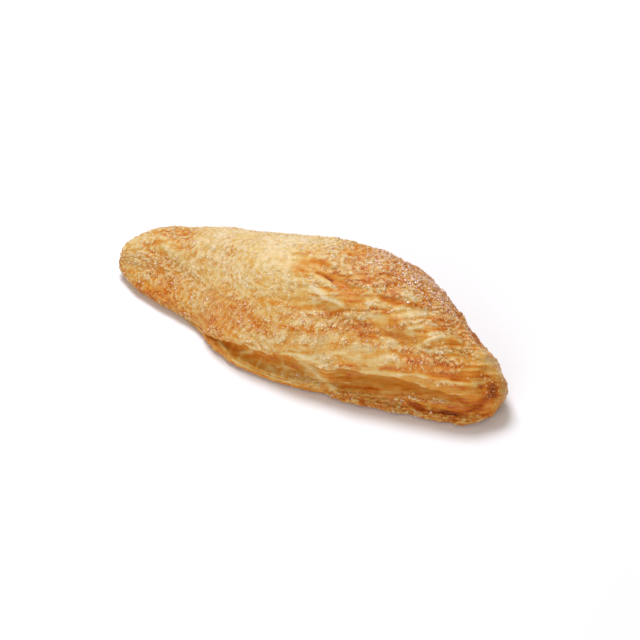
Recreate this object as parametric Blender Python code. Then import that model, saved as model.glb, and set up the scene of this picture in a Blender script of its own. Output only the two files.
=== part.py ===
"""A straight sugared croissant: puff pastry folded over along its back, with its cut side puffed open.

The pastry lies on the floor along X. Its open side faces -Y and its narrow end is at +X. Lengths are in
millimetres until the mesh is made. One closed body is lofted from sections across X. The folds, blisters,
crack and ragged edges of its crust are relief on that loft.
"""

import math

import bmesh
import bpy
from mathutils import Vector, noise

MM = 0.001  # one millimetre in Blender's metres

# Driving dimensions
LENGTH = 162.0
FRONT_REACH = 30.4  # from the long axis to the open side's bottom rim
BACK_REACH = 32.5  # from the long axis to the folded side
HEIGHT = 41.0
LIP_HEIGHT = 17.2  # of the top sheet's free edge over the open side
SHEET = 2.6  # thickness of the top sheet at its free edge
OVERHANG = 1.2  # of the bottom rim past the lip
POCKET_DEPTH = 8.5  # of the open side's hollow, inwards from the lip
RIM_HEIGHT = 3.4  # of the bottom crust where it sticks out below the pocket
CRACK_DEPTH = 1.6  # between the bottom crust and the layers on it
FOOT = 4.5  # how far the underside's edge rounds in at the front
HEEL_FOOT = 7.0  # and at the back

# How the section changes along the pastry. Each row is (share of the length, share of a dimension).
FRONT = [(0.0, 0.18), (0.13, 0.40), (0.27, 0.56), (0.36, 0.84), (0.50, 1.0), (0.72, 0.89), (0.87, 0.73), (1.0, 0.56)]
BACK = [(0.0, 0.30), (0.13, 0.65), (0.30, 0.77), (0.50, 0.95), (0.62, 1.0), (0.72, 0.85), (0.87, 0.43), (1.0, 0.06)]
CREST = [(0.0, 0.34), (0.13, 0.53), (0.30, 0.77), (0.50, 0.97), (0.60, 1.0), (0.70, 0.965), (0.93, 0.58), (1.0, 0.42)]
LIP = [(0.0, 0.14), (0.20, 0.15), (0.28, 0.23), (0.40, 0.66), (0.58, 0.90), (0.75, 1.0), (0.87, 0.96), (1.0, 0.80)]
POCKET = [(0.0, 0.0), (0.22, 0.0), (0.32, 0.25), (0.56, 0.62), (0.74, 1.0), (0.88, 0.82), (0.96, 0.30), (1.0, 0.0)]
ROLL = [(0.0, 0.0), (0.64, 0.0), (0.74, 0.35), (0.84, 1.0), (0.96, 1.0), (1.0, 0.6)]
CRACK = [(0.0, 0.0), (0.70, 0.0), (0.78, 0.6), (0.86, 1.0), (0.95, 0.8), (1.0, 0.0)]

# The lip hangs down in two places, and at the second a strand of dough bridges the pocket.
LIP_SAG = {"place": 0.505, "reach": 0.025, "depth": 1.6}
BRIDGE = {"place": 0.638, "reach": 0.026, "depth": 2.6, "stand_back": 1.6, "fill": 0.75}

# From the left end to the first share the side's sheets are pressed together; from the second they are apart.
SHUT_UNTIL, OPEN_FROM = 0.19, 0.34
SHUT_START, SHUT_SWEEP = -82.0, 100.0  # degrees round the shut side's rounded edge, from the floor up
SHUT_BULGE = 3.5
SHUT_RISE = 0.20  # its radius, as a share of the section's height

# Rounding of the ends, as shares of the length, and the height of each end's middle
ROUND_LEFT, ROUND_RIGHT = 0.10, 0.075
NOSE_LEFT, NOSE_RIGHT = 7.0, 9.5

# Single folds of the top crust, seen from above: where each starts and ends, its reach across, and how far it
# stands out (or in, below zero)
FOLDS = {
    "left ridge": {"start": (-62.0, 1.0), "end": (-49.0, -3.0), "reach": 2.6, "lift": 0.9},
    "raised flake": {"start": (8.0, -10.5), "end": (20.0, -13.5), "reach": 2.2, "lift": 0.9},
    "flake's slit": {"start": (8.0, -7.2), "end": (21.0, -10.4), "reach": 1.4, "lift": -0.8},
    "stretched ridge": {"start": (9.0, -14.6), "end": (26.0, -14.4), "reach": 2.0, "lift": 1.0},
    "brown hollow": {"start": (19.0, -20.5), "end": (32.0, -18.8), "reach": 2.6, "lift": -0.9},
    "long trough": {"start": (35.0, -18.5), "end": (53.0, -15.0), "reach": 2.2, "lift": -1.2},
    "upper ridge": {"start": (42.0, -13.8), "end": (54.0, -9.0), "reach": 1.9, "lift": 0.9},
    "half-moon flake": {"start": (56.0, -12.6), "end": (63.0, -8.8), "reach": 2.9, "lift": 1.5},
    "lower trough": {"start": (44.0, -20.2), "end": (55.0, -17.0), "reach": 1.8, "lift": -0.7},
    "back pleat": {"start": (-30.0, 19.0), "end": (6.0, 27.0), "reach": 3.2, "lift": 1.1},
    "back hollow": {"start": (2.0, 20.0), "end": (34.0, 20.0), "reach": 3.0, "lift": -1.1},
    "back ridge": {"start": (22.0, 25.0), "end": (50.0, 14.0), "reach": 2.6, "lift": 1.1},
    "back crease": {"start": (-54.0, 10.0), "end": (-34.0, 15.0), "reach": 2.4, "lift": -1.0},
}

# Corners of a section, by their place in section_corners
RIM, LIP_EDGE, HEEL = 3, 10, 17
OPEN_CORNERS = 11  # on the open side
SECTIONS = 70
SPANS = [4, 1, 2, 2, 2, 2, 3, 4, 4, 3, 2, 2, 7, 9, 10, 9, 6, 3, 2]  # points from each corner to the next


def along(rows, s):
    """A smooth curve through rows of (share of the length, value)."""
    i = 0
    while i < len(rows) - 2 and s > rows[i + 1][0]:
        i += 1
    (x0, y0), (x1, y1) = rows[i], rows[i + 1]

    def slope(k):
        a, b = rows[max(k - 1, 0)], rows[min(k + 1, len(rows) - 1)]
        return (b[1] - a[1]) / (b[0] - a[0])

    width = x1 - x0
    t = (s - x0) / width
    ease = t * t * (3 - 2 * t)
    return y0 + (y1 - y0) * ease + width * (slope(i) * t * (1 - t) ** 2 - slope(i + 1) * t * t * (1 - t))


def bump(distance, reach):
    """1 at no distance, falling smoothly towards 0 over the reach."""
    return math.exp(-((distance / reach) ** 2))


def rounding(s, left, right):
    """1 along the body, falling to 0 at each end on a rounded curve."""
    near_left = max(0.0, 1.0 - s / left)
    near_right = max(0.0, 1.0 - (1.0 - s) / right)
    return (1.0 - near_left**2.4) ** (1 / 2.4) * (1.0 - near_right**2.2) ** (1 / 2.2)


def window(value, start, full, end_full, end):
    """0 outside start and end, 1 from full to end_full, and a smooth step between."""
    rise = min(1.0, max(0.0, (value - start) / (full - start)))
    fall = min(1.0, max(0.0, (end - value) / (end - end_full)))
    least = min(rise, fall)
    return least * least * (3 - 2 * least)


def opened(s):
    """0 where the sheets are still pressed together at the blunt end, 1 where the side has puffed open."""
    return window(s, SHUT_UNTIL, OPEN_FROM, 2.0, 3.0)


def shut_side(front, top):
    """The corners of the front side where it isn't open, as a rounded edge from the floor up."""
    corners = []
    for k in range(OPEN_CORNERS):
        turn = math.radians(SHUT_START + SHUT_SWEEP * k / OPEN_CORNERS)
        corners.append((front + SHUT_BULGE * (1 - math.cos(turn)), SHUT_RISE * top * (1 + math.sin(turn))))
    return corners


def open_side(s, shell_front, shell_lip):
    """The corners of the puffed front side, from the foot of the rim, through the pocket, over the lip."""
    bridge = bump(s - BRIDGE["place"], BRIDGE["reach"])
    front = shell_front + BRIDGE["stand_back"] * bridge
    lip = shell_lip - BRIDGE["depth"] * bridge
    lip -= LIP_SAG["depth"] * bump(s - LIP_SAG["place"], LIP_SAG["reach"])
    pocket = POCKET_DEPTH * along(POCKET, s) * (1 - BRIDGE["fill"] * bridge)
    rim = min(RIM_HEIGHT, 0.4 * lip)
    roll = max(0.0, along(ROLL, s))
    crack = CRACK_DEPTH * max(0.0, along(CRACK, s))
    gap = lip - SHEET - rim  # height of the pocket's mouth
    edge = shell_front + OVERHANG  # y of the lip's edge
    return [
        (front + FOOT, 0.0),
        (front + 0.9, 0.5),
        (front, 0.55 * rim),
        (front + 0.8, rim),
        (front + 1.1 + crack, rim + 0.06 * gap),  # the crack over the bottom crust
        (front + 1.4 + (0.45 - 0.40 * roll) * pocket, rim + (0.16 + 0.16 * roll) * gap),  # the inner roll
        (edge + (0.95 - 0.25 * roll) * pocket, rim + (0.52 + 0.12 * roll) * gap),
        (edge + 0.72 * pocket, rim + 0.90 * gap),  # the pocket's roof
        (edge + 0.3, lip - SHEET),
        (edge - 0.5, lip - 0.5 * SHEET),
        (edge + 0.1, lip + 0.5),
    ]


def section_corners(s):
    """The section's corners as (y, z), from under the middle, up the open side, over the top and back."""
    front = -FRONT_REACH * along(FRONT, s)
    back = BACK_REACH * along(BACK, s)
    width = back - front
    top = HEIGHT * along(CREST, s)
    lip = LIP_HEIGHT * along(LIP, s)
    share = opened(s)
    side = []
    for shut, puffed in zip(shut_side(front, top), open_side(s, front, lip)):
        side.append(tuple(a + (b - a) * share for a, b in zip(shut, puffed)))
    heel_foot = min(HEEL_FOOT, 0.2 * width)
    return [
        (front + 0.50 * width, 0.0),
        *side,
        (front + 0.15 * width, lip + 0.44 * (top - lip)),
        (front + 0.33 * width, lip + 0.84 * (top - lip)),
        (front + 0.56 * width, top),
        (front + 0.80 * width, 0.78 * top),
        (back - 0.5, 0.40 * top),
        (back - 1.2, 0.13 * top),
        (back - heel_foot, 0.0),
    ]


def closed_spline(corners):
    """Points along a closed Catmull-Rom curve through the corners, each with its place counted in corners."""
    made = []
    for i, count in enumerate(SPANS):
        a, b, c, d = (Vector(corners[(i + k) % len(corners)]) for k in (-1, 0, 1, 2))
        for step in range(count):
            t = step / count
            point = 2 * b + (c - a) * t + (2 * a - 5 * b + 4 * c - d) * t**2 + (3 * b - a - 3 * c + d) * t**3
            made.append((i + t, 0.5 * point))
    return made


def ring(s):
    """One section's points, as (place round the section, position)."""
    made = closed_spline(section_corners(s))
    size = rounding(s, ROUND_LEFT, ROUND_RIGHT)
    sides = [p.x for _, p in made]
    middle = 0.5 * (min(sides) + max(sides))
    nose = NOSE_LEFT if s < 0.5 else NOSE_RIGHT
    points = []
    for place, p in made:
        y = middle + (p.x - middle) * size
        z = nose + (max(p.y, 0.0) - nose) * size
        points.append((place, Vector(((s - 0.5) * LENGTH, y, z))))
    return points


def folded(fold, p):
    """How far one of the single folds lifts the crust at a point p."""
    start, end = Vector(fold["start"]), Vector(fold["end"])
    run = end - start
    share = max(0.0, min(1.0, (p.xy - start).dot(run) / run.length_squared))
    return fold["lift"] * bump((p.xy - start - share * run).length, fold["reach"])


def relief(s, place, p):
    """How far the crust stands out of the loft, or in, at a point p."""
    top = window(place, LIP_EDGE + 0.6, LIP_EDGE + 1.8, HEEL - 1.0, HEEL)
    sides = window(place, RIM - 1.0, RIM, HEEL - 0.6, HEEL + 0.2)
    flaky = window(s, 0.36, 0.58, 0.93, 0.99)
    # Broad swells of the whole crust
    lift = 1.2 * sides * noise.noise(Vector((p.x / 26, p.y / 17, p.z / 15)))
    # Long ridges that run towards the narrow end, and the puffed flakes on them
    flow = Vector((p.x / 32, (p.y + 0.10 * p.x) / 5.4, p.z / 8.0 + 4.0))
    lift += top * (0.45 + 0.75 * flaky) * noise.noise(flow)
    flakes = Vector((p.x / 12, (p.y + 0.18 * p.x) / 4.4, p.z / 5.5 + 9.0))
    lift += 0.9 * top * flaky * noise.noise(flakes)
    lift += top * sum(folded(fold, p) for fold in FOLDS.values())
    # The blunt end is a lobe behind a slanting dent
    lift -= 1.3 * top * bump(s - 0.165 + 0.0011 * p.y, 0.028)
    # Two creases shut the narrow end: one over the top alone, one all the way round
    lift -= 0.6 * top * bump(s - 0.930, 0.012)
    lift -= 0.9 * sides * bump(s - 0.964, 0.010)
    return lift


def ragged(s, place, p):
    """A shift of the free edges, in mm: the bottom rim outwards and in, the lip up and down."""
    rim = window(place, RIM - 1.5, RIM - 0.3, RIM + 0.6, RIM + 1.8)
    lip = window(place, LIP_EDGE - 2.2, LIP_EDGE - 0.6, LIP_EDGE + 0.8, LIP_EDGE + 1.8)
    torn = noise.noise(Vector((p.x / 4.3, 7.0, 0.0))) + 0.6 * noise.noise(Vector((p.x / 10.0, 3.0, 0.0)))
    frayed = noise.noise(Vector((p.x / 5.0, 21.0, 0.0))) + 0.7 * noise.noise(Vector((p.x / 12.0, 9.0, 0.0)))
    fray = opened(s) * lip * frayed
    tear = opened(s) * rim * torn * (0.6 + 0.9 * window(s, 0.70, 0.80, 0.95, 1.0))
    return Vector((0.0, -tear - 0.4 * fray, 0.7 * fray))


def loft():
    """The body as a mesh, before it is set on the floor."""
    body = bmesh.new()
    rings = []
    facts = {}
    for i in range(1, SECTIONS + 1):
        turn = i / (SECTIONS + 1)
        s = 0.6 * turn + 0.2 * (1 - math.cos(math.pi * turn))
        verts = []
        for place, p in ring(s):
            vert = body.verts.new(p)
            facts[vert] = (s, place)
            verts.append(vert)
        rings.append(verts)
    for near, far in zip(rings, rings[1:]):
        for j in range(len(near)):
            k = (j + 1) % len(near)
            body.faces.new((near[j], near[k], far[k], far[j]))
    for end, x in ((rings[0], -0.5 * LENGTH), (rings[-1], 0.5 * LENGTH)):
        middle = sum((v.co for v in end), Vector()) / len(end)
        pole = body.verts.new((x, middle.y, middle.z))
        for j in range(len(end)):
            body.faces.new((end[j], end[(j + 1) % len(end)], pole))
    bmesh.ops.recalc_face_normals(body, faces=body.faces)
    body.normal_update()
    shifts = {}
    for vert, (s, place) in facts.items():
        shifts[vert] = vert.normal * relief(s, place, vert.co) + ragged(s, place, vert.co)
    for vert, shift in shifts.items():
        vert.co += shift
        vert.co.z = max(vert.co.z, 0.0)
    return body


def set_down(body):
    """Moves the body so that the floor is at z = 0 and its box is centred over the origin."""
    xs, ys, zs = zip(*(v.co for v in body.verts))
    shift = Vector((-0.5 * (min(xs) + max(xs)), -0.5 * (min(ys) + max(ys)), -min(zs)))
    bmesh.ops.translate(body, vec=shift, verts=body.verts)


def make_croissant():
    body = loft()
    set_down(body)
    bmesh.ops.scale(body, vec=Vector((MM, MM, MM)), verts=body.verts)
    mesh = bpy.data.meshes.new("croissant")
    body.to_mesh(mesh)
    body.free()
    mesh.shade_smooth()
    croissant = bpy.data.objects.new("croissant", mesh)
    bpy.context.scene.collection.objects.link(croissant)
    return croissant


def baked_crust():
    """Golden baked pastry."""
    crust = bpy.data.materials.new("baked_crust")
    crust.use_nodes = True
    shader = crust.node_tree.nodes["Principled BSDF"]
    shader.inputs["Base Color"].default_value = (0.62, 0.36, 0.12, 1.0)
    shader.inputs["Roughness"].default_value = 0.55
    shader.inputs["Metallic"].default_value = 0.0
    return crust


def main():
    for old in list(bpy.data.objects):
        bpy.data.objects.remove(old, do_unlink=True)
    croissant = make_croissant()
    croissant.data.materials.append(baked_crust())


main()
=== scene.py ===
"""The looks of a straight sugared croissant: flaky crust, puffed open side and sugar baked onto it.

Lengths are in millimetres until a mesh is made. x runs from the blunt end to the narrow end, y from the open
side to the back and z up from the table. The crust is the frame's solid made finer and given its relief.
Browning, sugar and relief are worked out for each vertex from where it lies, and the materials' nodes turn
browning and sugar into colour.
"""

import math

import bmesh
import bpy
import numpy as np
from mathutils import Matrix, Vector, noise
from mathutils.bvhtree import BVHTree
from mathutils.kdtree import KDTree


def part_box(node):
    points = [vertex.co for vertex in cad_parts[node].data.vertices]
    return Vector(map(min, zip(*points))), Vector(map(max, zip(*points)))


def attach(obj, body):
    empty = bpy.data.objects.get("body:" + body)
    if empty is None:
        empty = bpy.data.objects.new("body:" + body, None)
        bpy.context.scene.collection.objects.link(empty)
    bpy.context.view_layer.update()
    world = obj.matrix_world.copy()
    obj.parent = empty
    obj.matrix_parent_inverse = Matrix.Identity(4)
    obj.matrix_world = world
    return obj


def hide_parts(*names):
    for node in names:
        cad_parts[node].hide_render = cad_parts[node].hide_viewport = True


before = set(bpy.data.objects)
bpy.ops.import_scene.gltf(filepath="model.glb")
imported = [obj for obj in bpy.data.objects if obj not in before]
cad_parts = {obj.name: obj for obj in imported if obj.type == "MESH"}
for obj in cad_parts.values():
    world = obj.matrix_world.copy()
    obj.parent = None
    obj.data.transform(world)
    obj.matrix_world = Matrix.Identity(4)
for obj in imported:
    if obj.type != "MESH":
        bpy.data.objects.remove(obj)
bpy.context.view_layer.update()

MM = 0.001
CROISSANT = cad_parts["croissant"]
LOW, HIGH = (np.array(corner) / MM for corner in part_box("croissant"))
SUBDIVISIONS = 2
WELD = 0.001  # corners closer than this are one

# The long axis that the crust's ridges run round: its height, as a share of the section's
AXIS_HEIGHT = 0.25
AXIS_BINS = 60  # stretches of the length that its height and middle are measured in
AXIS_BLUR = 5  # stretches they are averaged over
GIRTH_RADIUS = 27.0  # turns an angle round that axis into millimetres at the widest section
# Towards the narrow end the dough's layers lie in leaning planes. Their normal is the camera's up, rounded,
# because the rows run level across the photo there.
LAYER_NORMAL = np.array((-0.294, 0.509, 0.809))
CROWN = (-8.0, -9.0)  # x, and millimetres round the axis, of the pale crown the rows bend round
CROWN_STRETCH = 0.7  # this share of a step towards the blunt end counts, so the arcs are longer that way
CROWN_REACH = 16.0  # further off than this, in millimetres, the rows run along the blunt end instead
CROWN_ROUNDING = 3.0  # rounds the crown off, where the rows of both sides meet
ROWS_START = 24.0  # a row's place at the crown, which falls off outwards

# The pocket is what the top sheet hides from rays leaning out to the open side by these angles in radians
SHELTER_RAYS = (0.0, 0.45, 0.9)
SHELTER_REACH = 14.0  # how far a ray looks for the sheet
SHELTER_TOP = 19.0  # nothing higher than this is in the pocket
SHELTER_FACING = 0.35  # nor is what faces the back by more than this
RAY_START = 0.08  # how far off the crust a ray starts
HIDDEN, OPEN = 0.6, 0.4  # shares of hidden rays inside the pocket and outside it
SUGARLESS = 0.5  # share of hidden rays from where on there is no sugar
FACES_DOWN = (0.2, 0.7)  # how far down the underside's normals point, at its edge and well inside it
LIP_LOWEST = 5.0  # only skin above this height is beside the lip
LIP_EDGE = 0.8  # width of the top sheet's pale, thin edge
LIP_SHADE = 2.4  # width of the band of painted shade under it, in the pocket
# Torn edges and the pocket's layers: their spacing, the shares of it over which they rise and then fall,
# and how far they fall
FLAKE_SPACING, EDGE_STEP = 2.8, ((0.0, 0.16), (0.2, 1.0), 0.9)
LAYER_HEIGHT, LAYER_STEP = 1.5, ((0.0, 0.3), (0.45, 1.0), 1.0)
BEAD = 1.3  # from one bead of baked sugar to the next
BEAD_STRETCH = (1.4, 1.0, 1.4)  # longer along the rows
BEAD_FOOT = 0.62  # how far a bead spreads, as a share of the way to the next
BEAD_START = 7.7  # where in the pattern of cells the beads are taken from
SEED_STEP = 17.3  # how far apart the noise of one seed and the next is
WANDER = 0.55  # how far the edges of marks stray from their lines
SLOPED = 0.05  # a part of a normal below this never reaches the box
FAR = 1000.0  # further than anything on the crust

# Zones of the crust: what they are measured along, where they start and where they are full. "turn" is the
# angle round the long axis in radians: 0 above it, below 0 towards the open side.
ZONES = {
    "layers lean": ("x", -5, 25),
    "back": ("turn", 0.35, 0.9),
    "far side": ("turn", 0.7, 1.4),
    "sheet lifts off": ("x", -44, -36),
    "underside": ("z", 1.5, 0.4),
    "flaky": ("x", -8, 14),
    "narrow tip": ("x", 70, 79),
    "pleated": ("y", -13, -4),
    "calm": ("x", 38, 54),
    "calm front": ("turn", -0.15, -0.5),
    "knuckled": ("turn", -0.2, 0.3),
    "crest": ("turn", -0.6, 0.1),
    "narrow half": ("x", -5, 20),
    "blunt end": ("x", -30, -50),
    "blunt foot": ("x", -20, -50),
    "foot": ("z", 11, 3),
    "blunt half": ("x", 25, 5),
    "front": ("turn", -0.5, -1),
    "pale half": ("x", 25, -5),
    "pale top": ("turn", -0.5, 0.2),
    "browned top": ("turn", -0.15, 0.25),
    "browned most": ("x", 25, 40),
    "browning ends": ("x", 60, 70),
    "narrow end": ("x", 48, 62),
    "nose": ("x", 60, 68),
    "nose front": ("turn", 0, -0.4),
    "bare nose": ("x", 63, 72),
    "webbed": ("x", 12, 2),
    "shelf": ("x", 22, 34),
    "shelf height": ("z", 5.5, 8),
    "ragged": ("x", 8, 22),
    "ragged height": ("z", 6.5, 3),
    "bared": ("x", -38, -30),
    "bared till": ("x", 16, 6),
    "bared height": ("z", 8, 6),
    "frosted top": ("turn", -0.2, 0.15),
    "frosted till": ("x", 62, 50),
    "off the table": ("z", 4, 12),
}
BROWNED_FROM = (8, 36)  # x where the browned top starts and is full, and the same for its clear sugar
FROSTED_FROM = (14, 30)
SLOWER_BEHIND = 18.0  # how much further those stretch either way on the back

# Noise drawn out along the dough's rows: length, width, seed
ROW_NOISE = {
    "rows": (12, 2.6, 3),
    "torn": (13, 5, 23),
    "swells": (18, 3.0, 6),
    "streaks": (8, 1.2, 4),
    "fine": (5, 0.8, 5),
    "edges sway": (20, 8, 1),
    "edges shake": (7, 3.5, 2),
    "patches": (20, 7.0, 15),
    "sugar rows": (10, 2.0, 16),
}
ROW_DEPTH = 12
# Noise that follows no row: size along x, y and z, seed
LOOSE_NOISE = {
    "lumps": ((4.5, 3.5, 3.5), 33),
    "sugar": ((7, 7, 7), 13),
    "blotches": ((4, 4, 4), 34),
    "webs": ((1.3, 9, 9), 41),
    "layers": ((14, 6, 3), 9),
    "layer edges": ((4, 3, 2), 10),
    "pocket streaks": ((16, 3, 1.6), 12),
    "lip": ((3.2, 3.2, 3.2), 36),
    "rim": ((2.6, 2.6, 2.6), 35),
    "skin": ((0.9, 0.9, 0.9), 8),
    "frost": ((6, 5, 5), 38),
}
# Noise in the rows' own directions, for swells wider than a row: size, seed
FLOW_NOISE = {
    "broad": ((26, 14, 14), 11),
    "grain": ((5, 2, 5), 37),
    "wander": ((6, 2.5, 6), 31),
}

# The values of noise over which a thing comes in
COMES_IN = {
    "ridges": (-0.20, 0.14),
    "torn edges": (-0.30, 0.20),
    "webs": (0.12, 0.42),
    "frost": (-0.2, 0.3),
}
LUMPS = 0.9  # how much lumps take over from rows in the pleats
EDGE_SWAY, EDGE_SHAKE = 1.1, 0.5  # how far torn edges stray, as shares of their spacing
LAYER_SWAY, LAYER_SHAKE = 0.5, 0.2  # and the pocket's layers

# The levels of relief that leave the crust where it is, or as brown as it is
LEVEL = {
    "ridges": 0.7,
    "ridges' browning": 0.62,
    "torn edges": 0.4,
    "layers": 0.4,
    "layers' browning": 0.5,
    "webs": 0.3,
    "beads": 0.5,
}

# How much of a thing is lost inside a zone
FADES = {
    "flakes at the tip": 0.45,
    "flakes behind": 0.5,
    "rows in the pleats": 0.7,
    "torn edges in the pleats": 0.6,
    "sugar on the crown": 0.5,
    "sugar on the lip": 0.6,
    "sugar on the nose": 0.7,
    "sugar on the bared rim": 0.85,
    "relief on calm dough": 0.5,
    "flakes on calm dough": 0.75,
    "browning on calm dough": 0.35,
    "browned top at the nose": 0.9,
    "browned top behind": 0.5,
    "pale top behind": 0.7,
    "layers on the shelf": 0.7,
    "streaks on the shelf": 0.75,
    "relief under a mark": 0.5,
    "beads where browned": 0.6,
    "grain near the table": 0.9,
    "frost behind": 0.7,
    "pale grains where browned": 0.35,
}

# How high each kind of relief stands, in millimetres
LIFT = {
    "swells": 0.30,
    "streaks": 0.16,
    "fine": 0.06,
    "ridges": 0.32,
    "torn edges": 0.36,
    "flaky streaks": 0.14,
    "flaky fine": 0.08,
    "layers": 0.40,
    "webs": 0.35,
    "rim webs": 0.45,
    "lip": 0.9,
    "ragged": 0.5,
    "beads": 0.52,
    "skin": 0.06,
}
# Humps and hollows across the far edge: x, reach, lift
KNUCKLES = [(-57, 4.5, 0.7), (-45, 5, -0.5)]
CREST = (-2, 26, -1.2)  # the same for the crest, which is lowered along its middle

# How much browner each thing makes the crust, or paler, below zero
BROWN = {
    "everywhere": 0.39,
    "narrow half": 0.06,
    "blunt end": 0.03,
    "foot": 0.13,
    "blunt foot": -0.05,
    "front": 0.06,
    "pale top": -0.13,
    "browned top": 0.42,
    "browned most": 0.08,
    "pleated": 0.12,
    "narrow end": 0.08,
    "nose front": 0.07,
    "broad": 0.10,
    "blotches": 0.05,
    "streaks": 0.11,
    "swells": 0.11,
    "fine": 0.06,
    "between ridges": 0.17,
    "patches": 0.20,
    "under torn edges": 0.17,
    "flaky streaks": 0.10,
    "lip": -0.04,
    "pocket": 0.61,
    "layers": 0.14,
    "pocket streaks": 0.14,
    "webs": -0.20,
    "rim webs": -0.16,
    # painted shade: darkens the pocket just under the top sheet's edge
    "painted shade under the lip": 0.10,
    "underside": 0.62,
    "late streaks": 0.08,
    # partly painted shade: darkens the gaps between the sugar beads
    "brown and painted shade between beads": 0.46,
}
RIM_BROWN, RIM_SHARE = 0.60, 0.8  # the ragged rim's own browning, and how far it takes over
PALEST_FLAKY, BROWNEST = 0.24, 0.74  # before the marks are drawn

# The share of sugar
SUGAR = {
    "everywhere": 0.72,
    "clouds": 0.4,
    "rows": 0.5,
    "between ridges": 0.22,
    "ridges": 0.78,
    "pleated": 0.30,
    "ragged rim": 0.9,
}
CROWN_ALONG, CROWN_ACROSS = (-8.0, 15.0), (-8.0, 10.0)  # middle and reach of the crown's thinner sugar
GRAIN, GRAIN_SWELL = 0.85, 0.6  # how much a bead of sugar stands out, and how much that varies
SUGAR_BROWNS = (0.5, 0.8)  # browning over which beads of baked sugar stand out less and less
CLEAR_THIN, CLEAR_FROSTED = 0.3, 3.0  # density of clear sugar on browned crust, and on the browned top
CLEAR_FROM = (0.30, 0.45)  # browning over which the thin clear sugar comes in
FROST_LEAST, FROST_SWELL = 0.4, 1.2  # clear sugar between its clusters, and how much more is in them

# Broad spots, browner than the crust round them or paler, below zero: x, y, reach along both, change
SPOTS = {
    "pale crown": (-8, -9, 14, 10, -0.12),
    "pale top past the crown": (12, 3, 18, 7, -0.10),
    "brown hump at the blunt end": (-57, 4, 12, 8, 0.24),
    "pale back of the dome": (-36, -3, 14, 12, -0.08),
    "pale blunt tip": (-71, -3, 7, 7, -0.08),
    "dent's floor": (-50, -12, 7, 5, 0.08),
    "dome's foot": (-22, -23.5, 11, 4, 0.25),
    "dome's pale side": (-18, -15, 9, 5, -0.14),
    "pale dough by the strands": (33, -11, 7, 3.5, -0.17),
    "pale dough over it": (34.5, -10, 7, 4, -0.07),
    "brown spot past the strands": (38, -9, 4, 2.5, 0.14),
    "brown row over the lip": (52, -20, 9, 2.5, 0.22),
    "half-moon flake's ground": (59, -15.5, 6, 2.5, 0.12),
    "brown shoulder": (60, -2, 9, 7, 0.10),
    # painted shade: darkens the crease round the narrow end
    "painted shade round the narrow end's crease": (74, -15, 4, 4, 0.12),
    "pale narrow tip": (75, -4, 5, 5, -0.12),
}

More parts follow.
